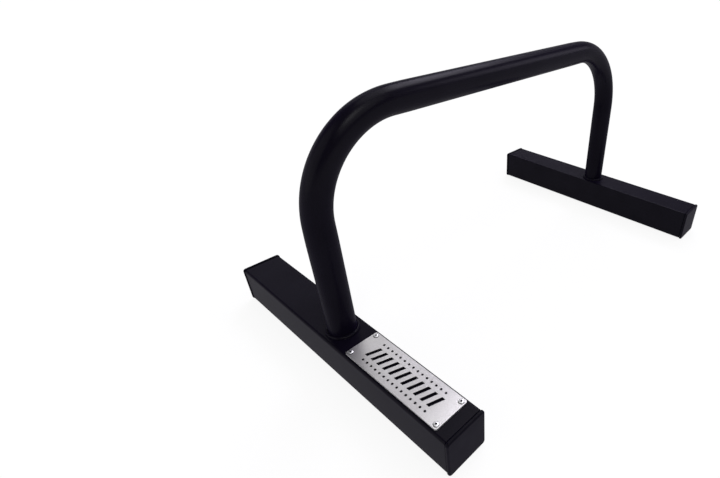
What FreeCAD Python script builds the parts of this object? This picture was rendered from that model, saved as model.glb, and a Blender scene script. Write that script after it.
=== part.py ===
import FreeCAD, Part
import math
import os

import Sketcher

# A welded parallette bar: a bent round tube standing on two square-tube feet, with pressed-in end
# caps and a riveted plate on the left foot.
# X runs along the grip bar, Y along the feet and Z up. The origin is on the floor under the middle of
# the bar, and the floor touches the undersides of the end caps.

# name, millimetres, what it measures
SIZES = (
    ("foot_spacing", "586", "between the axes of the two uprights"),
    ("overall_height", "321", "floor to the top of the grip bar"),
    ("tube_diameter", "33.7", "round tube, outside"),
    ("tube_wall", "2.6", "round tube, wall"),
    ("bend_radius", "107.5", "both bends, at the tube's centre line"),
    ("weld_leg", "3.4", "fillet weld, along the tube and along the foot"),
    ("weld_crown", "0.4", "bulge of the bead past a flat fillet"),
    ("foot_length", "406", "square tube, cut length"),
    ("foot_side", "50.8", "square tube, outside"),
    ("foot_wall", "2.5", "square tube, wall"),
    ("foot_corner", "3", "square tube, outside corner radius"),
    ("foot_inner_corner", "1", "square tube, inside corner radius"),
    ("cap_flange", "5", "end cap, thickness outside the tube"),
    ("cap_proud", "0.9", "how far the flange stands past the tube's faces"),
    ("cap_edge", "2", "rounding of the flange's outer rim"),
    ("cap_seam", "0.6", "rounding of the flange's rim against the tube"),
    ("plug_length", "16", "end cap, length inside the tube"),
    ("plug_wall", "2.2", "end cap, wall of the hollow plug"),
    ("plug_corner", "3", "corner radius of the plug and its ribs"),
    ("rib_lead", "2.5", "flange to the first rib"),
    ("rib_depth", "1.3", "how far a rib stands out from the plug"),
    ("rib_thickness", "1.2", "one rib"),
    ("rib_count", "4", "ribs on a plug"),
    ("rib_clearance", "0.1", "rib to the tube's inside"),
    ("plate_thickness", "2", "sheet steel"),
    ("plate_corner", "2.5", "corner radius of the plate"),
    ("plate_side_margin", "3.4", "plate to the foot's long sides"),
    ("plate_gap", "17.2", "weld to the plate"),
    ("plate_end_margin", "15.1", "plate to the end of the square tube"),
    ("row_margin", "24", "plate's short edge to the first cut-out's middle"),
    ("slot_count", "11", "leaning slots in the middle row"),
    ("slot_width", "4.5", "one slot, along the row"),
    ("slot_height", "17", "one slot, across the row"),
    ("slot_lean", "6", "shift along the row from a slot's foot to its top"),
    ("dot_count", "15", "round holes in each side row"),
    ("dot_diameter", "3", "one round hole"),
    ("dot_inset", "7.5", "plate's long edge to a row of round holes"),
    ("rivet_inset", "4.6", "plate's edges to a rivet's axis"),
    ("rivet_shank", "3.2", "rivet, shank diameter"),
    ("rivet_clearance", "0.05", "shank to its hole, all round"),
    ("rivet_head", "6.6", "rivet, head diameter"),
    ("rivet_rim", "0.3", "height of the head's edge"),
    ("rivet_dome", "0.9", "height of the dome above that edge"),
    ("rivet_tail", "4.8", "set tail, diameter"),
    ("rivet_tail_length", "2.4", "set tail, length below the tube's wall"),
    ("mandrel_diameter", "1.9", "pin left inside the rivet"),
    ("mandrel_clearance", "0.05", "pin to its bore, all round"),
    ("mandrel_recess", "0.6", "broken end, depth below the top of the dome"),
    ("mandrel_head", "3", "pin's head, diameter"),
    ("mandrel_head_length", "1.4", "pin's head, length"),
)

# places that several pieces share, as expressions on the sheet
FOOT_TOP = "(dims.cap_proud + dims.foot_side)"
BAR_CENTRE = "(dims.overall_height - dims.tube_diameter / 2)"
UPRIGHT = "(dims.foot_spacing / 2)"
TUBE_INSIDE = "(dims.foot_side - 2 * dims.foot_wall)"
PLATE_NEAR = "(dims.tube_diameter / 2 + dims.weld_leg + dims.plate_gap)"
PLATE_FAR = "(dims.foot_length / 2 - dims.plate_end_margin)"
PLATE_MIDDLE = f"(({PLATE_NEAR} + {PLATE_FAR}) / 2)"
PLATE_LENGTH = f"({PLATE_FAR} - {PLATE_NEAR})"
PLATE_WIDTH = "(dims.foot_side - 2 * dims.plate_side_margin)"
RIVET_ACROSS = f"({PLATE_WIDTH} / 2 - dims.rivet_inset)"
RIVET_ALONG = f"({PLATE_LENGTH} / 2 - dims.rivet_inset)"
RIVET_HOLE = "(dims.rivet_shank / 2 + dims.rivet_clearance)"
ROW_LENGTH = f"({PLATE_LENGTH} - 2 * dims.row_margin)"

# the plate's corners, as the side across the foot and the end along it
RIVET_CORNERS = ((-1, -1), (1, -1), (-1, 1), (1, 1))

# how near a point has to be to lie on a face
TOUCH = 1e-6

doc = FreeCAD.newDocument("parallette_bar")


def fill_sheet():
    """Writes the driving dimensions into the sheet, one named cell each."""
    sheet = doc.addObject("Spreadsheet::Sheet", "dims")
    for row, (name, value, meaning) in enumerate(SIZES, start=1):
        sheet.set(f"A{row}", name)
        sheet.set(f"B{row}", value)
        sheet.setAlias(f"B{row}", name)
        sheet.set(f"C{row}", meaning)
    doc.recompute()


def new_body(label):
    """Adds an empty body, the sub-part that its label names."""
    body = doc.addObject("PartDesign::Body", label)
    body.Label = label
    return body


def origin_part(body, role):
    """Finds one of a body's own origin planes or axes."""
    return next(part for part in body.Origin.OriginFeatures if part.Role == role)


def new_sketch(body, name, plane, lift=None):
    """Attaches a sketch to an origin plane, lifted along the plane's normal where asked."""
    sketch = body.newObject("Sketcher::SketchObject", f"{body.Name}_{name}")
    sketch.AttachmentSupport = (origin_part(body, plane), "")
    sketch.MapMode = "FlatFace"
    if lift:
        sketch.setExpression("AttachmentOffset.Base.z", lift)
    return sketch


def bind(feature, **expressions):
    """Ties a feature's properties to expressions on the sheet."""
    for name, expression in expressions.items():
        feature.setExpression(name, expression)


def fix_point(sketch, curve, end, x, y):
    """Holds one end of a curve at a place given by two expressions."""
    for kind, axis, expression in (("DistanceX", -2, x), ("DistanceY", -1, y)):
        if expression == "0":
            sketch.addConstraint(Sketcher.Constraint("PointOnObject", curve, end, axis))
        else:
            value = float(sketch.evalExpression(expression))
            row = sketch.addConstraint(Sketcher.Constraint(kind, curve, end, value))
            sketch.setExpression(f"Constraints[{row}]", expression)


def fix_radius(sketch, curve, radius):
    """Holds a circle's or an arc's radius at an expression."""
    value = float(sketch.evalExpression(radius))
    row = sketch.addConstraint(Sketcher.Constraint("Radius", curve, value))
    sketch.setExpression(f"Constraints[{row}]", radius)


def arc_between(first, last, radius, turn):
    """Makes the short arc from one point to another, turning left for 1 and right for -1."""
    chord = last - first
    middle = (first + last) / 2
    side = FreeCAD.Vector(-chord.y, chord.x, 0).normalize()
    rise = math.sqrt(max(radius ** 2 - (chord.Length / 2) ** 2, 0))
    centre = middle + side * rise * turn
    start, stop = (first, last) if turn > 0 else (last, first)
    start_angle = math.atan2(start.y - centre.y, start.x - centre.x)
    stop_angle = math.atan2(stop.y - centre.y, stop.x - centre.x)
    circle = Part.Circle(centre, FreeCAD.Vector(0, 0, 1), radius)
    return Part.ArcOfCircle(circle, start_angle, stop_angle)


def draw_path(sketch, corners, arcs=None, closed=True):
    """Draws lines and arcs through corners given as pairs of expressions.

    arcs gives, for the corner that an arc starts from, its radius and its turn.
    """
    arcs = arcs or {}
    points = [
        FreeCAD.Vector(*(float(sketch.evalExpression(value)) for value in corner), 0)
        for corner in corners
    ]
    count = len(points) if closed else len(points) - 1
    ends = []
    for index in range(count):
        first = points[index]
        last = points[(index + 1) % len(points)]
        if index in arcs:
            radius, turn = arcs[index]
            value = float(sketch.evalExpression(radius))
            curve = sketch.addGeometry(arc_between(first, last, value, turn))
            ends.append((curve, 1, 2) if turn > 0 else (curve, 2, 1))
        else:
            curve = sketch.addGeometry(Part.LineSegment(first, last))
            ends.append((curve, 1, 2))
    for index, (curve, start, stop) in enumerate(ends):
        fix_point(sketch, curve, start, *corners[index])
        if closed or index + 1 < count:
            next_curve, next_start, _ = ends[(index + 1) % count]
            sketch.addConstraint(Sketcher.Constraint("Coincident", curve, stop, next_curve, next_start))
    if not closed:
        fix_point(sketch, curve, stop, *corners[-1])
    for index, (radius, _) in arcs.items():
        fix_radius(sketch, ends[index][0], radius)


def draw_rounded_rectangle(sketch, width, height, radius):
    """Draws a rectangle with round corners about the sketch's origin."""
    across = f"({width}) / 2"
    up = f"({height}) / 2"
    corners = [
        (f"-{across} + {radius}", f"-{up}"),
        (f"{across} - {radius}", f"-{up}"),
        (f"{across}", f"-{up} + {radius}"),
        (f"{across}", f"{up} - {radius}"),
        (f"{across} - {radius}", f"{up}"),
        (f"-{across} + {radius}", f"{up}"),
        (f"-{across}", f"{up} - {radius}"),
        (f"-{across}", f"-{up} + {radius}"),
    ]
    draw_path(sketch, corners, {index: (radius, 1) for index in (1, 3, 5, 7)})


def draw_circle(sketch, x, y, radius):
    """Draws one circle at a place given by two expressions."""
    centre = FreeCAD.Vector(float(sketch.evalExpression(x)), float(sketch.evalExpression(y)), 0)
    value = float(sketch.evalExpression(radius))
    curve = sketch.addGeometry(Part.Circle(centre, FreeCAD.Vector(0, 0, 1), value))
    fix_point(sketch, curve, 3, x, y)
    fix_radius(sketch, curve, radius)


def draw_rivet_holes(sketch, middle):
    """Draws the four rivet holes about the plate's middle, given along Y."""
    for side, end in RIVET_CORNERS:
        draw_circle(sketch, f"{side} * {RIVET_ACROSS}", f"{middle} + {end} * {RIVET_ALONG}", RIVET_HOLE)


def pad(body, sketch, length, symmetric=False, reverse=False):
    """Adds material from a sketch."""
    feature = body.newObject("PartDesign::Pad", f"{sketch.Name}_pad")
    feature.Profile = sketch
    feature.SideType = "Symmetric" if symmetric else "One side"
    feature.Reversed = reverse
    bind(feature, Length=length)
    doc.recompute()
    return feature


def pocket(body, sketch, length, reverse=False):
    """Cuts a sketch out, and stops where the cut takes nothing away."""
    before = body.Shape.Volume
    feature = body.newObject("PartDesign::Pocket", f"{sketch.Name}_pocket")
    feature.Profile = sketch
    feature.Reversed = reverse
    bind(feature, Length=length)
    doc.recompute()
    if not body.Shape.Volume < before:
        raise RuntimeError(f"{feature.Name} cuts nothing")
    return feature


def pattern_along(body, original, axis, length, count, reverse=False):
    """Repeats a feature evenly over a length along one of the body's axes."""
    feature = body.newObject("PartDesign::LinearPattern", f"{original.Name}_row")
    feature.Originals = [original]
    feature.Direction = (origin_part(body, axis), [""])
    feature.Reversed = reverse
    bind(feature, Length=length, Occurrences=count)
    body.Tip = feature
    doc.recompute()
    return feature


def round_rim(body, solid, name, height, radius):
    """Rounds the edges of a solid that lie all at one height."""
    rim = [
        f"Edge{number}"
        for number, edge in enumerate(solid.Shape.Edges, start=1)
        if all(abs(vertex.Z - height) < TOUCH for vertex in edge.Vertexes)
    ]
    feature = body.newObject("PartDesign::Fillet", f"{body.Name}_{name}_rim")
    feature.Base = (solid, rim)
    bind(feature, Radius=radius)
    doc.recompute()
    return feature


def revolve(body, sketch):
    """Turns a sketch about its own upright axis."""
    feature = body.newObject("PartDesign::Revolution", f"{sketch.Name}_turned")
    feature.Profile = sketch
    feature.ReferenceAxis = (sketch, ["V_Axis"])
    feature.Angle = 360
    doc.recompute()
    return feature


def put(body, x="0", y="0", z="0", turn=FreeCAD.Rotation()):
    """Places a body by expressions, turned first."""
    body.Placement = FreeCAD.Placement(FreeCAD.Vector(), turn)
    for axis, expression in (("x", x), ("y", y), ("z", z)):
        body.setExpression(f"Placement.Base.{axis}", expression)


def make_handle_tube():
    """The round tube: up from the left foot, along the grip and down to the right foot."""
    body = new_body("handle_tube")
    spine = new_sketch(body, "spine", "XZ_Plane")
    bend_start = f"({BAR_CENTRE} - dims.bend_radius)"
    bend_end = f"({UPRIGHT} - dims.bend_radius)"
    corners = [
        (f"-{UPRIGHT}", FOOT_TOP),
        (f"-{UPRIGHT}", bend_start),
        (f"-{bend_end}", BAR_CENTRE),
        (bend_end, BAR_CENTRE),
        (UPRIGHT, bend_start),
        (UPRIGHT, FOOT_TOP),
    ]
    bend = ("dims.bend_radius", -1)
    draw_path(spine, corners, {1: bend, 3: bend}, closed=False)

    for name, kind, radius in (
        ("outside", "AdditivePipe", "dims.tube_diameter / 2"),
        ("inside", "SubtractivePipe", "dims.tube_diameter / 2 - dims.tube_wall"),
    ):
        section = new_sketch(body, name, "XY_Plane", lift=FOOT_TOP)
        draw_circle(section, f"-{UPRIGHT}", "0", radius)
        pipe = body.newObject(f"PartDesign::{kind}", f"{section.Name}_pipe")
        pipe.Profile = section
        pipe.Spine = spine
        doc.recompute()


def make_weld_bead(label, side):
    """The ring of weld metal between an upright and the top of its foot."""
    body = new_body(label)
    section = new_sketch(body, "section", "XZ_Plane")
    root = "dims.tube_diameter / 2"
    toe = "dims.tube_diameter / 2 + dims.weld_leg"
    crown_radius = "(dims.weld_leg ^ 2 / 2 + dims.weld_crown ^ 2) / (2 * dims.weld_crown)"
    draw_path(section, [(root, "0"), (toe, "0"), (root, "dims.weld_leg")], {1: (crown_radius, 1)})
    revolve(body, section)
    put(body, x=f"{side} * {UPRIGHT}", z=FOOT_TOP)


def make_foot_tube(label, side, has_plate):
    """A square tube lying along Y, drilled through its top where it carries the plate."""
    body = new_body(label)
    section = new_sketch(body, "section", "XZ_Plane")
    draw_rounded_rectangle(section, "dims.foot_side", "dims.foot_side", "dims.foot_corner")
    draw_rounded_rectangle(section, TUBE_INSIDE, TUBE_INSIDE, "dims.foot_inner_corner")
    pad(body, section, "dims.foot_length", symmetric=True)
    if has_plate:
        holes = new_sketch(body, "rivet_holes", "XY_Plane", lift="dims.foot_side / 2")
        draw_rivet_holes(holes, f"-{PLATE_MIDDLE}")
        pocket(body, holes, "dims.foot_side / 2")
    put(body, x=f"{side} * {UPRIGHT}", z="dims.cap_proud + dims.foot_side / 2")


def make_end_cap(label, side, end):
    """A ribbed insert: a round-edged flange over the tube's end and a hollow plug inside it.

    It is drawn about the tube's axis, with the tube's cut end at zero and the flange above it.
    """
    body = new_body(label)
    flange = new_sketch(body, "flange", "XY_Plane")
    flange_side = "(dims.foot_side + 2 * dims.cap_proud)"
    draw_rounded_rectangle(flange, flange_side, flange_side, "(dims.foot_corner + dims.cap_proud)")
    slab = pad(body, flange, "dims.cap_flange")

    outer_rim = round_rim(body, slab, "outer", slab.Shape.BoundBox.ZMax, "dims.cap_edge")
    round_rim(body, outer_rim, "seam", slab.Shape.BoundBox.ZMin, "dims.cap_seam")

    rib_side = f"({TUBE_INSIDE} - 2 * dims.rib_clearance)"
    plug_side = f"({rib_side} - 2 * dims.rib_depth)"
    core_side = f"({plug_side} - 2 * dims.plug_wall)"
    plug = new_sketch(body, "plug", "XY_Plane")
    draw_rounded_rectangle(plug, plug_side, plug_side, "dims.plug_corner")
    pad(body, plug, "dims.plug_length", reverse=True)

    rib = new_sketch(body, "rib", "XY_Plane", lift="-dims.rib_lead")
    draw_rounded_rectangle(rib, rib_side, rib_side, "dims.plug_corner")
    first_rib = pad(body, rib, "dims.rib_thickness", reverse=True)
    rib_run = "dims.plug_length - dims.rib_lead - dims.rib_thickness"
    pattern_along(body, first_rib, "Z_Axis", rib_run, "dims.rib_count", reverse=True)

    core = new_sketch(body, "core", "XY_Plane")
    draw_rounded_rectangle(core, core_side, core_side, "dims.plug_corner")
    pocket(body, core, "dims.plug_length")

    outward = FreeCAD.Rotation(FreeCAD.Vector(0, 0, 1), FreeCAD.Vector(0, end, 0))
    put(
        body,
        x=f"{side} * {UPRIGHT}",
        y=f"{end} * dims.foot_length / 2",
        z="dims.cap_proud + dims.foot_side / 2",
        turn=outward,
    )


def make_plate():
    """The thin plate on the left foot, with leaning slots between two rows of round holes."""
    body = new_body("badge_plate")
    outline = new_sketch(body, "outline", "XY_Plane")
    draw_rounded_rectangle(outline, PLATE_WIDTH, PLATE_LENGTH, "dims.plate_corner")
    pad(body, outline, "dims.plate_thickness")

    holes = new_sketch(body, "rivet_holes", "XY_Plane", lift="dims.plate_thickness")
    draw_rivet_holes(holes, "0")
    pocket(body, holes, "dims.plate_thickness")

    row_start = f"(-{ROW_LENGTH} / 2)"
    slot = new_sketch(body, "slot", "XY_Plane", lift="dims.plate_thickness")
    half_width = "dims.slot_width / 2"
    half_height = "dims.slot_height / 2"
    half_lean = "dims.slot_lean / 2"
    corners = [
        (f"-{half_height}", f"{row_start} + {half_lean} - {half_width}"),
        (half_height, f"{row_start} - {half_lean} - {half_width}"),
        (half_height, f"{row_start} - {half_lean} + {half_width}"),
        (f"-{half_height}", f"{row_start} + {half_lean} + {half_width}"),
    ]
    draw_path(slot, corners)
    first_slot = pocket(body, slot, "dims.plate_thickness")
    pattern_along(body, first_slot, "Y_Axis", ROW_LENGTH, "dims.slot_count")

    dots = new_sketch(body, "dots", "XY_Plane", lift="dims.plate_thickness")
    dot_row = f"({PLATE_WIDTH} / 2 - dims.dot_inset)"
    for side in (-1, 1):
        draw_circle(dots, f"{side} * {dot_row}", row_start, "dims.dot_diameter / 2")
    first_dots = pocket(body, dots, "dims.plate_thickness")
    pattern_along(body, first_dots, "Y_Axis", ROW_LENGTH, "dims.dot_count")

    put(body, x=f"-{UPRIGHT}", y=f"-{PLATE_MIDDLE}", z=FOOT_TOP)


def make_rivet(number, side, end):
    """One blind rivet and the pin left in it, drawn with the plate's top face at zero."""
    grip = "(dims.plate_thickness + dims.foot_wall)"
    tail_end = f"(-{grip} - dims.rivet_tail_length)"
    bore = "(dims.mandrel_diameter / 2 + dims.mandrel_clearance)"
    dome_radius = "(((dims.rivet_head / 2) ^ 2 + dims.rivet_dome ^ 2) / (2 * dims.rivet_dome))"
    dome_centre = f"(dims.rivet_rim + dims.rivet_dome - {dome_radius})"
    dome_lip = f"({dome_centre} + sqrt({dome_radius} ^ 2 - {bore} ^ 2))"
    rivet_outline = [
        (bore, tail_end),
        ("dims.rivet_tail / 2", tail_end),
        ("dims.rivet_tail / 2", f"-{grip}"),
        ("dims.rivet_shank / 2", f"-{grip}"),
        ("dims.rivet_shank / 2", "0"),
        ("dims.rivet_head / 2", "0"),
        ("dims.rivet_head / 2", "dims.rivet_rim"),
        (bore, dome_lip),
    ]
    pin_top = "(dims.rivet_rim + dims.rivet_dome - dims.mandrel_recess)"
    pin_end = f"({tail_end} - dims.mandrel_head_length)"
    mandrel_outline = [
        ("0", pin_end),
        ("dims.mandrel_head / 2", pin_end),
        ("dims.mandrel_head / 2", tail_end),
        ("dims.mandrel_diameter / 2", tail_end),
        ("dims.mandrel_diameter / 2", pin_top),
        ("0", pin_top),
    ]
    dome = {6: (dome_radius, 1)}
    for label, outline, arcs in (
        (f"plate_rivet_{number}", rivet_outline, dome),
        (f"rivet_mandrel_{number}", mandrel_outline, {}),
    ):
        body = new_body(label)
        section = new_sketch(body, "section", "XZ_Plane")
        draw_path(section, outline, arcs)
        revolve(body, section)
        put(
            body,
            x=f"-{UPRIGHT} + {side} * {RIVET_ACROSS}",
            y=f"-{PLATE_MIDDLE} + {end} * {RIVET_ALONG}",
            z=f"{FOOT_TOP} + dims.plate_thickness",
        )


def check_document():
    """Stops where any object failed or any sub-part has no sound solid."""
    for item in doc.Objects:
        if "Invalid" in item.State or "Error" in item.State:
            raise RuntimeError(f"{item.Name} failed: {item.State}")
    for body in doc.findObjects("PartDesign::Body"):
        if body.Shape.isNull() or not body.Shape.isValid() or len(body.Shape.Solids) != 1:
            raise RuntimeError(f"{body.Label} is not one sound solid")


def write_parts():
    """Writes each sub-part to its own file."""
    os.makedirs("parts", exist_ok=True)
    for body in doc.findObjects("PartDesign::Body"):
        body.Shape.exportStep(f"parts/{body.Label}.step")
        print(f"{body.Label}: {body.Shape.Volume:.1f} mm3")


fill_sheet()
make_handle_tube()
for foot, side in (("left", -1), ("right", 1)):
    make_weld_bead(f"{foot}_weld_bead", side)
    make_foot_tube(f"{foot}_foot_tube", side, has_plate=foot == "left")
    for place, end in (("front", -1), ("rear", 1)):
        make_end_cap(f"{foot}_{place}_cap", side, end)
make_plate()
for number, (side, end) in enumerate(RIVET_CORNERS, start=1):
    make_rivet(number, side, end)
doc.recompute()
check_document()
write_parts()
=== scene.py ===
import math

import bmesh
import bpy
from mathutils import Matrix, Vector


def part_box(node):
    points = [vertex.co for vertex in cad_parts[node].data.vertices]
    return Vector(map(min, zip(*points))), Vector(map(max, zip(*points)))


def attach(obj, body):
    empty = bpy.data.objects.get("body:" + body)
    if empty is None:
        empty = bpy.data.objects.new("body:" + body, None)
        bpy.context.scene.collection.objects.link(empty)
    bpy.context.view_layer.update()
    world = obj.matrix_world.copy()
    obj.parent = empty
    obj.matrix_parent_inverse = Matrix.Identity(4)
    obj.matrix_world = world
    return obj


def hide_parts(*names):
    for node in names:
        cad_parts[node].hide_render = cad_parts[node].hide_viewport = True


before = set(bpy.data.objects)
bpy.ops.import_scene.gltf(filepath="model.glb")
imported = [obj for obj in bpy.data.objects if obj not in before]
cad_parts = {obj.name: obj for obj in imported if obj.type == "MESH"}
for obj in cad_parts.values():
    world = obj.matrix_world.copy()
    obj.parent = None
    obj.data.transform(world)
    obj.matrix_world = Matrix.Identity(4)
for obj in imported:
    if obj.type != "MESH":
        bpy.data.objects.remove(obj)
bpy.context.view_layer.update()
print("frame loaded,", len(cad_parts), "nodes")

# metres throughout: X along the grip, Y along the feet, Z up, floor at zero
tiny = 0.00002          # how near a point has to be to lie on a plane
mergeDistance = 0.000002
squareOn = 0.9          # a face looks along an axis when its normal has this much of it
parallel = 0.999        # an edge runs along an axis when its direction has this much of it


class Wire:
    # one output of a shader tree: sums on it add Math nodes, node() adds any other kind
    def __init__(self, tree, socket=None):
        self.tree = tree
        self.socket = socket

    def node(self, kind, settings=None, sockets=None, out=0):
        made = self.tree.nodes.new("ShaderNode" + kind)
        for name, value in (settings or {}).items():
            setattr(made, name, value)
        for name, value in (sockets or {}).items():
            if isinstance(value, Wire):
                self.tree.links.new(value.socket, made.inputs[name])
            else:
                made.inputs[name].default_value = value
        return Wire(self.tree, made.outputs[out] if made.outputs else None)

    def maths(self, operation, first, second):
        return self.node("Math", {"operation": operation}, {0: first, 1: second})

    def mix(self, factor, first, second):
        # sockets 6, 7 and output 2 are the Mix node's colours
        return self.node("Mix", {"data_type": "RGBA"}, {0: factor, 6: first, 7: second}, out=2)

    def __add__(self, other):
        return self.maths("ADD", self, other)

    def __radd__(self, other):
        return self.maths("ADD", other, self)

    def __sub__(self, other):
        return self.maths("SUBTRACT", self, other)

    def __rsub__(self, other):
        return self.maths("SUBTRACT", other, self)

    def __mul__(self, other):
        return self.maths("MULTIPLY", self, other)

    def __rmul__(self, other):
        return self.maths("MULTIPLY", other, self)


def newFinish(name):
    finish = bpy.data.materials.new(name)
    finish.use_nodes = True
    finish.node_tree.nodes.clear()
    return finish, Wire(finish.node_tree)


def grain(wire, size, stretch=(1, 1, 1), detail=2, roughness=0.5):
    # noise of about that size in metres, stretched along the axes
    place = wire.node("TexCoord", out="Object")
    scale = [1 / (size * s) for s in stretch]
    mapped = wire.node("Mapping", {}, {"Vector": place, "Scale": scale})
    return wire.node("TexNoise", {}, {
        "Vector": mapped, "Scale": 1, "Detail": detail, "Roughness": roughness})


def ramp(wire, value, low, high):
    # 0 at low, 1 at high, eased between them
    return wire.node("MapRange", {"interpolation_type": "SMOOTHSTEP"},
                     {"Value": value, "From Min": low, "From Max": high})


def sway(noise, amount):
    # noise about its middle, as a change of up to half that amount
    return (noise - 0.5) * amount


def cover(wire, sockets):
    shader = wire.node("BsdfPrincipled", {}, sockets)
    wire.node("OutputMaterial", {}, {"Surface": shader})


powderCoat = {
    "colour": (0.0016, 0.0012, 0.0031, 1),
    "chalky": (0.0023, 0.0018, 0.0042, 1),
    "roughness": 0.54,
    "roughnessSpread": 0.08,
    "specular": 0.006,
    "gloss": 0.11,                # share of a clear satin skin over the black
    "gripGloss": 0.118,           # on the grip, polished by hands
    "uprightGloss": 0.070,        # and below it
    "polishFade": (0.20, 0.28),   # heights between which the polish sets in
    "glossSpread": 0.03,
    "glossRoughness": 0.27,
    "bloom": 0.018,               # share of a violet sheen
    "bloomTint": (0.45, 0.30, 1.0, 1),
    "bloomRoughness": 0.6,
    "peelSize": 0.0017,
    "peelDepth": 0.000010,
    "speckSize": 0.00045,
    "speckDepth": 0.000004,
    "speckRoughness": 0.08,
    "speckShare": 0.3,            # of the specks in the chalky patches, the rest is cloud
    "chalkRange": (0.35, 0.65),
    "cloudSize": 0.045,
}


def makePowderCoat(name, polished=False):
    finish, wire = newFinish(name)
    gloss = powderCoat["gloss"]
    if polished:
        place = wire.node("TexCoord", out="Object")
        height = wire.node("SeparateXYZ", {}, {"Vector": place}, out="Z")
        gain = powderCoat["gripGloss"] - powderCoat["uprightGloss"]
        gloss = powderCoat["uprightGloss"] + ramp(wire, height, *powderCoat["polishFade"]) * gain
    cloud = grain(wire, powderCoat["cloudSize"], detail=4)
    peel = grain(wire, powderCoat["peelSize"], detail=1)
    speck = grain(wire, powderCoat["speckSize"], detail=2)
    share = powderCoat["speckShare"]
    chalk = ramp(wire, cloud * (1 - share) + speck * share, *powderCoat["chalkRange"])
    colour = wire.mix(chalk, powderCoat["colour"], powderCoat["chalky"])
    rough = powderCoat["roughness"] + sway(cloud, powderCoat["roughnessSpread"])
    rough = rough + sway(speck, powderCoat["speckRoughness"])
    fine = wire.node("Bump", {}, {"Distance": powderCoat["speckDepth"], "Height": speck})
    bump = wire.node("Bump", {}, {"Distance": powderCoat["peelDepth"], "Height": peel, "Normal": fine})
    cover(wire, {
        "Base Color": colour,
        "Roughness": rough,
        "Normal": bump,
        "Coat Weight": gloss + sway(cloud, powderCoat["glossSpread"]),
        "Coat Roughness": powderCoat["glossRoughness"],
        "Specular IOR Level": powderCoat["specular"],
        "Sheen Weight": powderCoat["bloom"],
        "Sheen Roughness": powderCoat["bloomRoughness"],
        "Sheen Tint": powderCoat["bloomTint"],
    })
    return finish


capPlastic = {
    "colour": (0.0016, 0.0013, 0.0030, 1),
    "scuffed": (0.0025, 0.0021, 0.0042, 1),
    "roughness": 0.56,
    "specular": 0.006,
    "gloss": 0.085,
    "glossSpread": 0.03,
    "glossRoughness": 0.30,
    "bloom": 0.018,
    "bloomTint": (0.45, 0.30, 1.0, 1),
    "bloomRoughness": 0.6,
    "poreSize": 0.0007,
    "poreDepth": 0.000012,
    "poreRoughness": 0.10,
    "cloudSize": 0.012,
    "cloudRoughness": 0.12,
    "scuffRange": (0.4, 0.7),
}


def makeCapPlastic():
    finish, wire = newFinish("capPlastic")
    cloud = grain(wire, capPlastic["cloudSize"], detail=3)
    pores = grain(wire, capPlastic["poreSize"], detail=3, roughness=0.6)
    scuff = ramp(wire, cloud, *capPlastic["scuffRange"])
    colour = wire.mix(scuff, capPlastic["colour"], capPlastic["scuffed"])
    rough = capPlastic["roughness"] + sway(cloud, capPlastic["cloudRoughness"])
    rough = rough + sway(pores, capPlastic["poreRoughness"])
    bump = wire.node("Bump", {}, {"Distance": capPlastic["poreDepth"], "Height": pores})
    cover(wire, {
        "Base Color": colour,
        "Roughness": rough,
        "Normal": bump,
        "Coat Weight": capPlastic["gloss"] + sway(cloud, capPlastic["glossSpread"]),
        "Coat Roughness": capPlastic["glossRoughness"],
        "Specular IOR Level": capPlastic["specular"],
        "Sheen Weight": capPlastic["bloom"],
        "Sheen Roughness": capPlastic["bloomRoughness"],
        "Sheen Tint": capPlastic["bloomTint"],
    })
    return finish


plateSteel = {
    "bright": (0.515, 0.505, 0.502, 1),
    "dull": (0.43, 0.422, 0.42, 1),
    # painted reflection: the rim's colour stands in for the floor's light on the edge
    "rim": (0.82, 0.815, 0.82, 1),
    "cutWall": (0.05, 0.048, 0.05, 1),
    "roughness": 0.35,
    "brushWidth": 0.0003,
    "brushLength": 14,             # brush marks are this many times longer than wide
    "brushDepth": 0.000004,
    "brushRange": (0.3, 0.7),
    "brushRoughness": 0.10,
    "speckSize": 0.0009,
    "speckShare": 0.5,             # of the specks in the colour, the rest is brush marks
    "cloudSize": 0.03,
    "cloudRoughness": 0.06,
    "rimHighlightInset": (0.0012, 0.0006),  # depths in from the outline where the painted bright rim starts and is full
    "topFacing": (0.2, 0.7),       # how far a face must look up to count as the brushed top
    "wallRoughness": 0.1,
}


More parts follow.
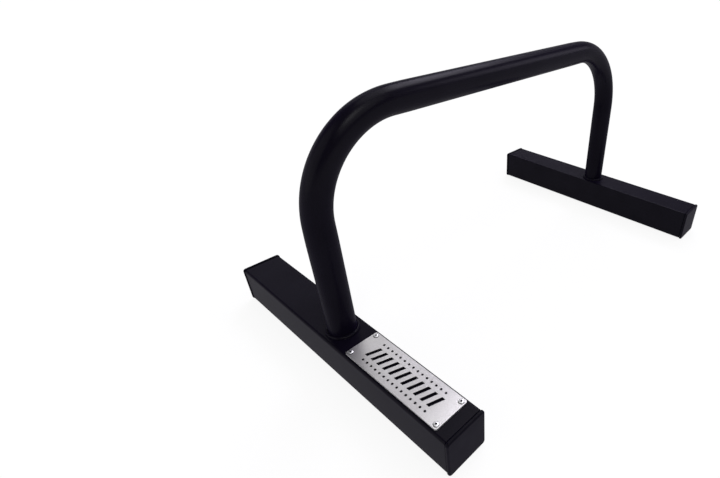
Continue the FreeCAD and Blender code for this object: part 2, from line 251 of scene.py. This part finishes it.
def makePlateSteel():
    finish, wire = newFinish("plateSteel")
    low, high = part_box("badge_plate")
    along = (1, plateSteel["brushLength"], 1)
    lines = grain(wire, plateSteel["brushWidth"], along, detail=3, roughness=0.6)
    speck = grain(wire, plateSteel["speckSize"], detail=2)
    cloud = grain(wire, plateSteel["cloudSize"], detail=3)
    share = plateSteel["speckShare"]
    marks = ramp(wire, lines * (1 - share) + speck * share, *plateSteel["brushRange"])
    colour = wire.mix(marks, plateSteel["dull"], plateSteel["bright"])
    # the sheared rim is coloured bright, a painted reflection of the floor's light; the walls of the
    # cut-outs are coloured dark
    place = wire.node("TexCoord", out="Object")
    inset = wire.node("VectorMath", {"operation": "ABSOLUTE"}, {
        0: wire.node("Mapping", {}, {"Vector": place, "Location": (low + high) / -2})})
    out = wire.node("VectorMath", {"operation": "SUBTRACT"}, {0: inset, 1: (high - low) / 2})
    outX = wire.node("SeparateXYZ", {}, {"Vector": out}, out="X")
    outY = wire.node("SeparateXYZ", {}, {"Vector": out}, out="Y")
    rimHighlightStart, rimHighlightFull = plateSteel["rimHighlightInset"]
    atRimHighlight = ramp(wire, wire.maths("MAXIMUM", outX, outY), -rimHighlightStart, -rimHighlightFull)
    facing = wire.node("SeparateXYZ", {}, {"Vector": wire.node("NewGeometry", out="Normal")}, out="Z")
    flat = ramp(wire, facing, *plateSteel["topFacing"])
    # painted reflection on the rim, dark walls in the cut-outs, brushed colour on the top
    colour = wire.mix(flat, wire.mix(atRimHighlight, plateSteel["cutWall"], plateSteel["rim"]), colour)
    rough = plateSteel["roughness"] + sway(lines, plateSteel["brushRoughness"])
    rough = rough + sway(cloud, plateSteel["cloudRoughness"]) + (1 - flat) * plateSteel["wallRoughness"]
    bump = wire.node("Bump", {}, {"Distance": plateSteel["brushDepth"], "Height": lines})
    cover(wire, {
        "Base Color": colour,
        "Metallic": 1.0,
        "Roughness": rough,
        "Normal": bump,
    })
    return finish


rivetMetal = {
    "bright": (0.72, 0.72, 0.73, 1),
    "dull": (0.64, 0.64, 0.65, 1),
    # painted shade, put in the bore's mouth and round the head's edge
    "paintedShade": (0.05, 0.049, 0.05, 1),
    "boreShade": (0.0011, 0.0016),    # painted shade: dark inside the first radius, in the bore's mouth, not outside the second
    "rim": (0.0027, 0.0031),      # and painted shade again where the head meets the plate
    "roughness": 0.40,
    "ringWidth": 0.00012,
    "ringDepth": 0.000002,
    "ringRoughness": 0.1,
    "smearSize": 0.0012,
    "smearRange": (0.35, 0.7),
    "smearRoughness": 0.1,
}


def makeRivetMetal(name, axis):
    # faint turning rings round the rivet's own axis
    finish, wire = newFinish(name)
    place = wire.node("TexCoord", out="Object")
    centred = wire.node("Mapping", {}, {"Vector": place, "Location": (-axis.x, -axis.y, 0)})
    flattened = wire.node("VectorMath", {"operation": "MULTIPLY"}, {0: centred, 1: (1, 1, 0)})
    radius = wire.node("VectorMath", {"operation": "LENGTH"}, {0: flattened}, out="Value")
    rings = wire.node("TexNoise", {"noise_dimensions": "1D"},
                      {"W": radius * (1 / rivetMetal["ringWidth"]), "Scale": 1, "Detail": 2})
    smear = grain(wire, rivetMetal["smearSize"], detail=3)
    dulled = ramp(wire, smear, *rivetMetal["smearRange"])
    colour = wire.mix(dulled, rivetMetal["bright"], rivetMetal["dull"])
    # painted shade in the bore's mouth and at the head's edge, where shade falls
    unshaded = ramp(wire, radius, *rivetMetal["boreShade"]) * (1 - ramp(wire, radius, *rivetMetal["rim"]))
    colour = wire.mix(unshaded, rivetMetal["paintedShade"], colour)
    rough = rivetMetal["roughness"] + sway(smear, rivetMetal["smearRoughness"])
    rough = rough + sway(rings, rivetMetal["ringRoughness"])
    bump = wire.node("Bump", {}, {"Distance": rivetMetal["ringDepth"], "Height": rings})
    cover(wire, {
        "Base Color": colour,
        "Metallic": 1.0,
        "Roughness": rough,
        "Normal": bump,
    })
    return finish


mandrelSteel = {
    # both colours are painted shade, far darker than steel, for the pin deep in the rivet's bore
    "paleShade": (0.045, 0.044, 0.045, 1),
    "deepShade": (0.015, 0.014, 0.014, 1),
    "roughness": 0.6,
    "breakSize": 0.0003,
    "breakDepth": 0.00003,
    "breakRoughness": 0.4,
    "shadeRange": (0.4, 0.65),
}


def makeMandrelSteel():
    finish, wire = newFinish("mandrelSteel")
    broken = grain(wire, mandrelSteel["breakSize"], detail=4, roughness=0.65)
    paleShade = ramp(wire, broken, *mandrelSteel["shadeRange"])
    # painted shade: the pin is coloured near black, paler and darker at random
    colour = wire.mix(paleShade, mandrelSteel["deepShade"], mandrelSteel["paleShade"])
    rough = mandrelSteel["roughness"] + sway(broken, mandrelSteel["breakRoughness"])
    bump = wire.node("Bump", {}, {"Distance": mandrelSteel["breakDepth"], "Height": broken})
    cover(wire, {
        "Base Color": colour,
        "Metallic": 1.0,
        "Roughness": rough,
        "Normal": bump,
    })
    return finish


coat = makePowderCoat("powderCoat")
gripCoat = makePowderCoat("gripCoat", polished=True)
plastic = makeCapPlastic()
steel = makePlateSteel()
pinSteel = makeMandrelSteel()
print("finishes made")


def begin(name):
    # names the primitive just added, puts its place into its mesh and opens it for editing
    piece = bpy.context.active_object
    piece.name = name
    piece.data.name = name
    bpy.ops.object.transform_apply(location=True, rotation=True, scale=True)
    bpy.ops.object.mode_set(mode="EDIT")
    return piece


def clear():
    bpy.ops.object.select_all(action="DESELECT")


def choose(piece):
    # selects this piece alone
    clear()
    piece.select_set(True)
    bpy.context.view_layer.objects.active = piece


def pick(piece, kind, rule):
    # selects the faces, edges or points that the rule is true for
    bpy.ops.mesh.select_mode(type=kind)
    bpy.ops.mesh.select_all(action="DESELECT")
    shape = bmesh.from_edit_mesh(piece.data)
    parts = {"VERT": shape.verts, "EDGE": shape.edges, "FACE": shape.faces}[kind]
    for part in parts:
        if rule(part):
            part.select_set(True)
    shape.select_flush_mode()
    bmesh.update_edit_mesh(piece.data)


def middle(part):
    return sum((v.co for v in part.verts), Vector()) / len(part.verts)


def allAt(axis, level):
    # true for an edge or face whose points all lie at one level
    return lambda part: all(abs(v.co[axis] - level) < tiny for v in part.verts)


def alongAxis(axis):
    # true for an edge that runs along an axis
    def rule(edge):
        run = edge.verts[1].co - edge.verts[0].co
        return abs(run[axis]) > parallel * run.length
    return rule


def push(x=0, y=0, z=0):
    bpy.ops.mesh.extrude_region_move(TRANSFORM_OT_translate={"value": (x, y, z)})


def widen(value, centre):
    bpy.ops.transform.resize(value=value, center_override=centre)


def roundEdges(size, steps):
    bpy.ops.mesh.bevel(offset=size, segments=steps, affect="EDGES", clamp_overlap=False)


def lathe(axis, radius):
    # each call extrudes the picked end to a new radius about an upright axis, and lifts it
    def turnTo(newRadius, rise=0):
        nonlocal radius
        push(z=rise)
        widen((newRadius / radius, newRadius / radius, 1), axis)
        radius = newRadius
    return turnTo


def apply(piece, kind, settings):
    modifier = piece.modifiers.new(kind.lower(), kind)
    for name, value in settings.items():
        setattr(modifier, name, value)
    bpy.ops.object.modifier_apply(modifier=modifier.name)


def repeat(piece, count, step):
    apply(piece, "ARRAY", {
        "count": count,
        "use_relative_offset": False,
        "use_constant_offset": True,
        "constant_offset_displace": step,
    })


def mend():
    # merges doubled points and turns the faces outwards
    bpy.ops.mesh.select_all(action="SELECT")
    bpy.ops.mesh.remove_doubles(threshold=mergeDistance)
    bpy.ops.mesh.normals_make_consistent(inside=False)


def leaveEdit(mended=True):
    if mended:
        mend()
    bpy.ops.object.mode_set(mode="OBJECT")


def smooth(piece, angle=35):
    choose(piece)
    bpy.ops.object.shade_smooth_by_angle(angle=math.radians(angle))
    apply(piece, "WEIGHTED_NORMAL", {"weight": 100, "keep_sharp": True})


def copyOf(piece, name, place=(0, 0, 0), turn=0):
    # a copy with its own mesh, turned about Z and moved
    choose(piece)
    bpy.ops.object.duplicate(linked=False)
    copied = bpy.context.active_object
    copied.name = name
    copied.data.name = name
    copied.matrix_world = Matrix.Translation(place) @ Matrix.Rotation(turn, 4, "Z")
    bpy.ops.object.transform_apply(location=True, rotation=True, scale=True)
    copied.parent = None
    return copied


def handOver(piece, finish, slotName, *nodes):
    piece.data.materials.clear()
    piece.data.materials.append(finish)
    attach(piece, "root")
    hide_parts(*nodes)


gripTube = {
    "sides": 96,
    "bendRadius": 0.1075,    # at the tube's centre line
    "bendSteps": 40,
    "wall": 0.0026,
    "flattened": 0.045,      # bending thins the tube by this share, in the bend's plane
    "flattenPivot": 0.0054,  # from the centre line towards the inside of the bend
    "flattenLead": 0.025,    # it fades out over this length each way at a bend's ends
    "leadSteps": 4,
    "ringReach": 1.01,       # a ring's points lie within this many radii of its middle
}


def makeGripTube():
    low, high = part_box("handle_tube")
    radius = (high.y - low.y) / 2
    upright = high.x - radius
    top = high.z - radius
    bend = gripTube["bendRadius"]
    clear()
    bpy.ops.mesh.primitive_circle_add(
        vertices=gripTube["sides"], radius=radius, location=(-upright, 0, low.z))
    piece = begin("gripTube")
    bpy.ops.mesh.select_all(action="SELECT")
    lead = gripTube["flattenLead"]
    step = lead / gripTube["leadSteps"]
    straight = top - bend - low.z
    quarter = {"steps": gripTube["bendSteps"], "angle": math.radians(90), "axis": (0, -1, 0)}

    def pushInto(way, length, atStart, atEnd):
        # one straight stretch, with close rings where it meets a bend
        first = [step] * (gripTube["leadSteps"] * atStart)
        last = [step] * (gripTube["leadSteps"] * atEnd)
        for run in first + [length - sum(first) - sum(last)] + last:
            push(*(way * run))

    pushInto(Vector((0, 0, 1)), straight, False, True)
    bpy.ops.mesh.spin(center=(bend - upright, 0, top - bend), **quarter)
    pushInto(Vector((1, 0, 0)), 2 * (upright - bend), True, True)
    bpy.ops.mesh.spin(center=(upright - bend, 0, top - bend), **quarter)
    pushInto(Vector((0, 0, -1)), straight, True, False)

    # the bends are thinned ring by ring, at these places along them
    arc = bend * math.pi / 2
    turnStep = arc / gripTube["bendSteps"]
    places = [-step * k for k in range(gripTube["leadSteps"])]
    places += [turnStep * k for k in range(1, gripTube["bendSteps"])]
    places += [arc + step * k for k in range(gripTube["leadSteps"])]
    reach = radius * gripTube["ringReach"]
    for side in (-1, 1):
        hub = Vector((side * (upright - bend), 0, top - bend))
        for place in places:
            turn = min(max(place / bend, 0), math.pi / 2)
            outward = Vector((side * math.cos(turn), 0, math.sin(turn)))
            onward = Vector((-side * math.sin(turn), 0, math.cos(turn)))
            ring = hub + outward * bend + onward * (place - turn * bend)
            inside = min(place, arc - place)
            share = min(max((inside + lead) / (2 * lead), 0), 1)
            share = share * share * (3 - 2 * share)
            pick(piece, "VERT",
                 lambda v: abs((v.co - ring).dot(onward)) < tiny and (v.co - ring).length < reach)
            bpy.ops.transform.resize(
                value=(1 - gripTube["flattened"] * share, 1, 1),
                orient_type="GLOBAL", orient_matrix_type="GLOBAL",
                orient_matrix=(outward, (0, 1, 0), outward.cross(Vector((0, 1, 0)))),
                center_override=ring - outward * gripTube["flattenPivot"])
    leaveEdit()
    apply(piece, "SOLIDIFY", {"thickness": gripTube["wall"], "offset": -1})
    smooth(piece)
    handOver(piece, gripCoat, "powder_coat", "handle_tube")


makeGripTube()
print("grip tube bent")


squareTube = {
    "corner": 0.003,
    "cornerSteps": 8,
    "wall": 0.0025,
    "deburr": 0.0006,
    "deburrSteps": 2,
    "outward": 0.5,          # share of a face's normal that points away from the tube's middle
}


def makeFoot(name, node):
    low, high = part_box(node)
    axis = (low + high) / 2
    clear()
    bpy.ops.mesh.primitive_cube_add(size=1, location=axis, scale=high - low)
    piece = begin(name)
    pick(piece, "FACE", lambda face: abs(face.normal.y) > squareOn)
    bpy.ops.mesh.delete(type="FACE")
    pick(piece, "EDGE", alongAxis(1))
    roundEdges(squareTube["corner"], squareTube["cornerSteps"])
    leaveEdit()
    apply(piece, "SOLIDIFY", {"thickness": squareTube["wall"], "offset": -1, "use_even_offset": True})
    bpy.ops.object.mode_set(mode="EDIT")

    def outerEndEdge(edge):
        # between a cut end and a face that looks outwards
        point = middle(edge)
        if abs(abs(point.y) - high.y) > tiny or abs(edge.verts[0].co.y - edge.verts[1].co.y) > tiny:
            return False
        outward = Vector((point.x - axis.x, 0, point.z - axis.z))
        least = squareTube["outward"] * outward.length
        return any(face.normal.dot(outward) > least for face in edge.link_faces)

    pick(piece, "EDGE", outerEndEdge)
    roundEdges(squareTube["deburr"], squareTube["deburrSteps"])
    leaveEdit(mended=False)
    smooth(piece)
    handOver(piece, coat, "powder_coat", node)


makeFoot("leftFoot", "left_foot_tube")
makeFoot("rightFoot", "right_foot_tube")
print("feet made")


endCap = {
    "corner": 0.0039,
    "cornerSteps": 8,
    "outerRim": 0.002,
    "outerSteps": 6,
    "seamRim": 0.0009,
    "seamSteps": 4,
    "seamGap": 0.0009,      # the flange's rim stands off the tube's end
    "seamLand": 0.0236,     # half width of the part that touches the tube's end
    "plugHalf": 0.0215,
    "ribHalf": 0.0228,
    "coreHalf": 0.0193,
    "ribLead": 0.0025,
    "ribThickness": 0.0012,
    "ribCount": 4,
    "plugLength": 0.016,
}


def makeCaps():
    low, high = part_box("left_front_cap")
    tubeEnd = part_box("left_foot_tube")[0].y
    rimEnd = tubeEnd - endCap["seamGap"]
    centre = Vector(((low.x + high.x) / 2, (low.y + rimEnd) / 2, (low.z + high.z) / 2))
    clear()
    bpy.ops.mesh.primitive_cube_add(
        size=1, location=centre, scale=(high.x - low.x, rimEnd - low.y, high.z - low.z))
    piece = begin("leftFrontCap")
    pick(piece, "EDGE", alongAxis(1))
    roundEdges(endCap["corner"], endCap["cornerSteps"])
    pick(piece, "EDGE", allAt(1, low.y))
    roundEdges(endCap["outerRim"], endCap["outerSteps"])
    pick(piece, "EDGE", allAt(1, rimEnd))
    roundEdges(endCap["seamRim"], endCap["seamSteps"])

    # the plug grows out of the flange's inner face, rib by rib
    pick(piece, "FACE", lambda face: allAt(1, rimEnd)(face) and face.normal.y > squareOn)
    half = (high.x - low.x) / 2 - endCap["seamRim"]

    def stepTo(newHalf):
        nonlocal half
        push()
        widen((newHalf / half, 1, newHalf / half), centre)
        half = newHalf

    ribbed = endCap["plugLength"] - endCap["ribLead"] - endCap["ribThickness"]
    pitch = ribbed / (endCap["ribCount"] - 1)
    stepTo(endCap["seamLand"])
    push(y=endCap["seamGap"])
    stepTo(endCap["plugHalf"])
    push(y=endCap["ribLead"])
    for rib in range(endCap["ribCount"]):
        stepTo(endCap["ribHalf"])
        push(y=endCap["ribThickness"])
        stepTo(endCap["plugHalf"])
        if rib < endCap["ribCount"] - 1:
            push(y=pitch - endCap["ribThickness"])
    stepTo(endCap["coreHalf"])
    push(y=-endCap["plugLength"])
    leaveEdit(mended=False)
    smooth(piece)

    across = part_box("right_front_cap")[0].x - low.x
    rear = copyOf(piece, "leftRearCap", (2 * centre.x, 0, 0), math.pi)
    rightFront = copyOf(piece, "rightFrontCap", (across, 0, 0))
    rightRear = copyOf(rear, "rightRearCap", (across, 0, 0))
    caps = {
        "left_front_cap": piece,
        "left_rear_cap": rear,
        "right_front_cap": rightFront,
        "right_rear_cap": rightRear,
    }
    for node, cap in caps.items():
        handOver(cap, plastic, "cap_plastic", node)


makeCaps()
print("end caps moulded")


weldBead = {
    "round": 0.64,         # radius of the bead's back, in legs of the fillet
    "sit": 0.26,           # height of that round's middle, in legs
    "profileSides": 120,
    "steps": 264,
    "ripples": 44,
    "rippleDepth": 0.00010,
    "rippleLevels": 6,
    "rippleShape": 0.6,    # under 1 widens the hollows between ripples
    "crescent": 0.9,       # how far each ripple lags at the bead's edges, in ripples
    "crownEdge": 0.0001,   # the crown stays this far off the tube and the foot
    "lumpSize": 0.010,     # a hand-laid bead is uneven
    "lumpHeight": 0.0015,
    "lumpLevel": 0.56,     # cloud value that leaves the bead's back where it is
    "smoothAngle": 60,
}


def makeWeld(name, node):
    low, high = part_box(node)
    axis = (low + high) / 2
    leg = high.z - low.z
    root = (high.x - low.x) / 2 - leg
    back = weldBead["round"] * leg
    clear()
    bpy.ops.mesh.primitive_circle_add(
        vertices=weldBead["profileSides"], radius=back, fill_type="NGON",
        location=(axis.x + root + leg - back, 0, low.z + weldBead["sit"] * leg),
        rotation=(math.pi / 2, 0, 0))
    piece = begin(name)
    for point, normal in (((axis.x + root, 0, 0), (1, 0, 0)), ((0, 0, low.z), (0, 0, 1))):
        bpy.ops.mesh.select_all(action="SELECT")
        bpy.ops.mesh.bisect(plane_co=point, plane_no=normal, clear_inner=True, use_fill=False)
    bpy.ops.mesh.select_all(action="SELECT")
    bpy.ops.mesh.delete(type="ONLY_FACE")
    bpy.ops.mesh.select_all(action="SELECT")
    bpy.ops.mesh.spin(
        steps=weldBead["steps"], angle=2 * math.pi, center=(axis.x, 0, low.z), axis=(0, 0, 1))
    mend()

    def reachAndLift(vert):
        return math.hypot(vert.co.y, vert.co.x - axis.x) - root, vert.co.z - low.z

    def ripplePhase(vert):
        angle = math.atan2(vert.co.y, vert.co.x - axis.x)
        reach, lift = reachAndLift(vert)
        across = (lift - reach) / leg
        return angle / (2 * math.pi) * weldBead["ripples"] + weldBead["crescent"] * across ** 2

    def onCrown(vert):
        return min(reachAndLift(vert)) > weldBead["crownEdge"]

    levels = weldBead["rippleLevels"]
    for level in range(levels):
        start = level / levels
        hollow = 0.5 - 0.5 * math.cos(2 * math.pi * (start + 0.5 / levels))
        depth = weldBead["rippleDepth"] * hollow ** weldBead["rippleShape"]
        pick(piece, "VERT", lambda v: onCrown(v) and start <= ripplePhase(v) % 1 < start + 1 / levels)
        bpy.ops.transform.shrink_fatten(value=-depth)
    pick(piece, "VERT", onCrown)
    piece.vertex_groups.new(name="crown")
    bpy.ops.object.vertex_group_assign()
    leaveEdit(mended=False)
    lumps = bpy.data.textures.new(name + "Lumps", "CLOUDS")
    lumps.noise_scale = weldBead["lumpSize"]
    apply(piece, "DISPLACE", {
        "texture": lumps,
        "texture_coords": "GLOBAL",
        "vertex_group": "crown",
        "strength": weldBead["lumpHeight"],
        "mid_level": weldBead["lumpLevel"],
    })
    piece.vertex_groups.clear()
    smooth(piece, weldBead["smoothAngle"])
    handOver(piece, coat, "powder_coat", node)


makeWeld("leftWeld", "left_weld_bead")
makeWeld("rightWeld", "right_weld_bead")
print("welds laid")


slottedPlate = {
    "corner": 0.0025,
    "cornerSteps": 8,
    "slotCount": 11,
    "slotWidth": 0.0045,
    "slotHeight": 0.017,
    "slotLean": 0.006,
    "rowMargin": 0.024,
    "dotCount": 15,
    "dotDiameter": 0.003,
    "dotInset": 0.0075,
    "rivetInset": 0.0046,
    "rivetHole": 0.0033,
    "holeSides": 32,
    "cutDepth": 3,          # cutters are this many times the plate's thickness
    "edgeBreak": 0.00015,
    "edgeSteps": 2,
    "edgeAngle": 40,
}


def makePlate():
    low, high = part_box("badge_plate")
    centre = (low + high) / 2
    deep = (high.z - low.z) * slottedPlate["cutDepth"]
    rowStart = low.y + slottedPlate["rowMargin"]
    rowLength = high.y - low.y - 2 * slottedPlate["rowMargin"]
    clear()
    bpy.ops.mesh.primitive_cube_add(size=1, location=centre, scale=high - low)
    piece = begin("slottedPlate")
    pick(piece, "EDGE", alongAxis(2))
    roundEdges(slottedPlate["corner"], slottedPlate["cornerSteps"])
    leaveEdit()

    clear()
    bpy.ops.mesh.primitive_cube_add(
        size=1, location=(centre.x, rowStart, centre.z),
        scale=(slottedPlate["slotHeight"], slottedPlate["slotWidth"], deep))
    slots = begin("slotCutter")
    for side in (-1, 1):
        pick(slots, "VERT", lambda v: (v.co.x - centre.x) * side > 0)
        bpy.ops.transform.translate(value=(0, -side * slottedPlate["slotLean"] / 2, 0))
    leaveEdit()
    repeat(slots, slottedPlate["slotCount"], (0, rowLength / (slottedPlate["slotCount"] - 1), 0))

    clear()
    bpy.ops.mesh.primitive_cylinder_add(
        vertices=slottedPlate["holeSides"], radius=slottedPlate["dotDiameter"] / 2, depth=deep,
        location=(low.x + slottedPlate["dotInset"], rowStart, centre.z))
    dots = begin("dotCutter")
    leaveEdit()
    repeat(dots, slottedPlate["dotCount"], (0, rowLength / (slottedPlate["dotCount"] - 1), 0))
    repeat(dots, 2, (high.x - low.x - 2 * slottedPlate["dotInset"], 0, 0))

    clear()
    bpy.ops.mesh.primitive_cylinder_add(
        vertices=slottedPlate["holeSides"], radius=slottedPlate["rivetHole"] / 2, depth=deep,
        location=(low.x + slottedPlate["rivetInset"], low.y + slottedPlate["rivetInset"], centre.z))
    holes = begin("rivetCutter")
    leaveEdit()
    repeat(holes, 2, (high.x - low.x - 2 * slottedPlate["rivetInset"], 0, 0))
    repeat(holes, 2, (0, high.y - low.y - 2 * slottedPlate["rivetInset"], 0))

    for cutter in (slots, dots, holes):
        choose(piece)
        apply(piece, "BOOLEAN", {"operation": "DIFFERENCE", "object": cutter, "solver": "EXACT"})
        bpy.data.objects.remove(cutter)
    apply(piece, "BEVEL", {
        "width": slottedPlate["edgeBreak"],
        "segments": slottedPlate["edgeSteps"],
        "limit_method": "ANGLE",
        "angle_limit": math.radians(slottedPlate["edgeAngle"]),
    })
    smooth(piece)
    handOver(piece, steel, "plate_steel", "badge_plate")


makePlate()
print("plate cut")


blindRivet = {
    "sides": 48,
    "shank": 0.0016,
    "rim": 0.0003,
    "domeSteps": 9,
    "domeRise": 0.9,        # powers that shape the dome, with 1 and 1 a plain quarter ellipse
    "domeDraw": 0.8,
    "bore": 0.0010,
    "lip": 0.00012,
    "tail": 0.0024,
    "tailLength": 0.0024,
    # shares of the tail's radius, each with the share of its length that it goes down
    "tailProfile": ((0.92, 0), (1, 0.3), (0.86, 0.6), (0.7, 0.1)),
}


def makeRivets():
    low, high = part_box("plate_rivet_1")
    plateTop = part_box("badge_plate")[1].z
    axis = Vector(((low.x + high.x) / 2, (low.y + high.y) / 2, plateTop))
    head = (high.x - low.x) / 2
    rim = blindRivet["rim"]
    bore = blindRivet["bore"]
    clear()
    bpy.ops.mesh.primitive_cylinder_add(
        vertices=blindRivet["sides"], radius=head, depth=rim, location=axis + Vector((0, 0, rim / 2)))
    piece = begin("plateRivet1")

    # the dome, from its rim up to the bore's lip
    turnTo = lathe(axis, head)
    topOfDome = high.z - axis.z - rim
    reach = head - bore - blindRivet["lip"]
    pick(piece, "FACE", lambda face: face.normal.z > squareOn)
    height = 0
    for step in range(1, blindRivet["domeSteps"] + 1):
        share = step / blindRivet["domeSteps"]
        newHeight = topOfDome * math.sin(share * math.pi / 2) ** blindRivet["domeRise"]
        drawn = (1 - math.cos(share * math.pi / 2)) ** blindRivet["domeDraw"]
        turnTo(head - reach * drawn, newHeight - height)
        height = newHeight
    turnTo(bore, -blindRivet["lip"])
    bpy.ops.mesh.delete(type="FACE")

    # shank and set tail, below the plate
    grip = plateTop - low.z - blindRivet["tailLength"]
    turnTo = lathe(axis, head)
    pick(piece, "FACE", lambda face: face.normal.z < -squareOn)
    turnTo(blindRivet["shank"])
    push(z=-grip)
    for share, drop in blindRivet["tailProfile"]:
        turnTo(blindRivet["tail"] * share, -blindRivet["tailLength"] * drop)
    turnTo(bore)
    bpy.ops.mesh.delete(type="FACE")
    pick(piece, "EDGE", lambda edge: edge.is_boundary)
    bpy.ops.mesh.bridge_edge_loops()
    leaveEdit()
    smooth(piece)
    handOver(piece, makeRivetMetal("rivetMetal1", axis), "rivet_aluminium", "plate_rivet_1")
    for number in (2, 3, 4):
        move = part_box(f"plate_rivet_{number}")[0] - low
        copied = copyOf(piece, f"plateRivet{number}", move)
        metal = makeRivetMetal(f"rivetMetal{number}", axis + move)
        handOver(copied, metal, "rivet_aluminium", f"plate_rivet_{number}")


makeRivets()


brokenPin = {
    "sides": 24,
    "pin": 0.00095,
    "headLength": 0.0014,
    "cup": 0.00018,
    # shares of the pin's radius, each with how far it goes down, in cups
    "cupProfile": ((0.72, 0), (0.5, 1), (0.2, 0.3)),
    "ragged": 0.00006,
    "raggedReach": 2,       # points this many cups below the top are ragged
    "raggedSeed": 4,
    "footRound": 0.0003,
    "footSteps": 2,
    "smoothAngle": 30,
}


def makeMandrels():
    low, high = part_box("rivet_mandrel_1")
    axis = Vector(((low.x + high.x) / 2, (low.y + high.y) / 2, 0))
    head = (high.x - low.x) / 2
    pin = brokenPin["pin"]
    clear()
    bpy.ops.mesh.primitive_cylinder_add(
        vertices=brokenPin["sides"], radius=head, depth=brokenPin["headLength"],
        location=(axis.x, axis.y, low.z + brokenPin["headLength"] / 2))
    piece = begin("rivetPin1")
    turnTo = lathe(axis, head)
    pick(piece, "FACE", lambda face: face.normal.z > squareOn)
    turnTo(pin)
    push(z=high.z - low.z - brokenPin["headLength"] - brokenPin["ragged"])
    for share, drop in brokenPin["cupProfile"]:
        turnTo(pin * share, -brokenPin["cup"] * drop)
    pick(piece, "VERT", lambda v: v.co.z > high.z - brokenPin["cup"] * brokenPin["raggedReach"])
    bpy.ops.transform.vertex_random(offset=brokenPin["ragged"], seed=brokenPin["raggedSeed"])
    pick(piece, "EDGE", allAt(2, low.z))
    roundEdges(brokenPin["footRound"], brokenPin["footSteps"])
    leaveEdit()
    smooth(piece, brokenPin["smoothAngle"])
    handOver(piece, pinSteel, "mandrel_steel", "rivet_mandrel_1")
    for number in (2, 3, 4):
        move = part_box(f"rivet_mandrel_{number}")[0] - low
        copied = copyOf(piece, f"rivetPin{number}", move)
        handOver(copied, pinSteel, "mandrel_steel", f"rivet_mandrel_{number}")


makeMandrels()
print("rivets set")


studio = {
    "floorSize": 40,
    "floorGap": 0.0003,        # the floor lies this far below the feet
    "floorColour": (0.92, 0.92, 0.92, 1),
    "floorWhite": 0.88,        # share of plain white in the floor as it is seen
    "horizon": 1.0,            # the world is white low down and dark overhead
    "overhead": 0.04,
    "fade": (0.17, 0.46),      # sines of the heights between which it darkens
    "lampDistance": 3,
}


def makeFloor():
    clear()
    bpy.ops.mesh.primitive_plane_add(size=studio["floorSize"], location=(0, 0, -studio["floorGap"]))
    floor = bpy.context.active_object
    floor.name = "studioFloor"
    finish, wire = newFinish("studioFloor")
    paths = [wire.node("LightPath", out=name)
             for name in ("Is Camera Ray", "Is Glossy Ray", "Is Transmission Ray")]
    seen = wire.maths("MAXIMUM", wire.maths("MAXIMUM", paths[0], paths[1]), paths[2])
    paper = wire.node("BsdfDiffuse", {}, {"Color": studio["floorColour"]})
    white = wire.node("Emission", {}, {"Color": (1, 1, 1, 1), "Strength": 1.0})
    shader = wire.node("MixShader", {}, {"Fac": seen * studio["floorWhite"], 1: paper, 2: white})
    wire.node("OutputMaterial", {}, {"Surface": shader})
    floor.data.materials.append(finish)


def makeWorld():
    world = bpy.data.worlds.new("studioWorld")
    world.use_nodes = True
    world.node_tree.nodes.clear()
    wire = Wire(world.node_tree)
    height = wire.node("SeparateXYZ", {}, {"Vector": wire.node("TexCoord", out="Generated")}, out="Z")
    fall = studio["horizon"] - studio["overhead"]
    strength = studio["horizon"] - ramp(wire, height, *studio["fade"]) * fall
    light = wire.node("Background", {}, {"Color": (1, 1, 1, 1), "Strength": strength})
    wire.node("OutputWorld", {}, {"Surface": light})
    bpy.context.scene.world = world


plainLight = (1, 1, 1)
coolLight = (0.88, 0.84, 1)
softLamps = {
    # heading from +Y towards +X, height above the floor, width as seen, strength, colour
    "keyLamp": (57, 41, 18, 0.62, coolLight),
    "highKeyLamp": (79, 50, 20, 0.71, coolLight),
    "topLamp": (62, 64, 44, 0.82, plainLight),
    "frontTopLamp": (200, 66, 20, 0.50, plainLight),
    "frontLamp": (176, 56, 46, 0.74, plainLight),
    "rightLamp": (117, 29, 22, 0.52, coolLight),
    "backLamp": (20, 36, 22, 0.14, plainLight),
    "leftLamp": (290, 33, 60, 0.76, plainLight),
}


def makeLamps():
    for name, (heading, height, wide, strength, colour) in softLamps.items():
        turn = math.radians(heading)
        rise = math.radians(height)
        level = math.cos(rise)
        towards = Vector((math.sin(turn) * level, math.cos(turn) * level, math.sin(rise)))
        clear()
        bpy.ops.object.light_add(type="SUN", location=towards * studio["lampDistance"])
        lamp = bpy.context.active_object
        lamp.name = name
        lamp.data.angle = math.radians(wide)
        lamp.data.energy = strength
        lamp.data.color = colour
        lamp.rotation_euler = towards.to_track_quat("Z", "Y").to_euler()


photoView = {
    "place": (-0.47977, -0.40138, 0.44116),
    "heading": 50.679,             # degrees from +Y towards +X
    "tilt": 33.047,                # degrees below level
    "roll": 1.3647,
    "focalPixels": 451.58,
    "axisPixel": (503.87, 242.06),
    "framePixels": (720, 478),
    "sensorWidth": 36,
}


def makeCamera():
    wide, high = photoView["framePixels"]
    clear()
    bpy.ops.object.camera_add(location=photoView["place"])
    camera = bpy.context.active_object
    turn = Matrix.Rotation(math.radians(-photoView["heading"]), 3, "Z")
    tip = Matrix.Rotation(math.radians(90 - photoView["tilt"]), 3, "X")
    roll = Matrix.Rotation(math.radians(photoView["roll"]), 3, "Z")
    camera.rotation_euler = (turn @ tip @ roll).to_euler()
    camera.data.sensor_width = photoView["sensorWidth"]
    camera.data.lens = camera.data.sensor_width * photoView["focalPixels"] / wide
    camera.data.shift_x = (wide / 2 - photoView["axisPixel"][0]) / wide
    camera.data.shift_y = (photoView["axisPixel"][1] - high / 2) / wide
    bpy.context.scene.camera = camera


makeFloor()
makeWorld()
makeLamps()
makeCamera()
bpy.context.scene.view_settings.view_transform = "Standard"
print("studio lit")
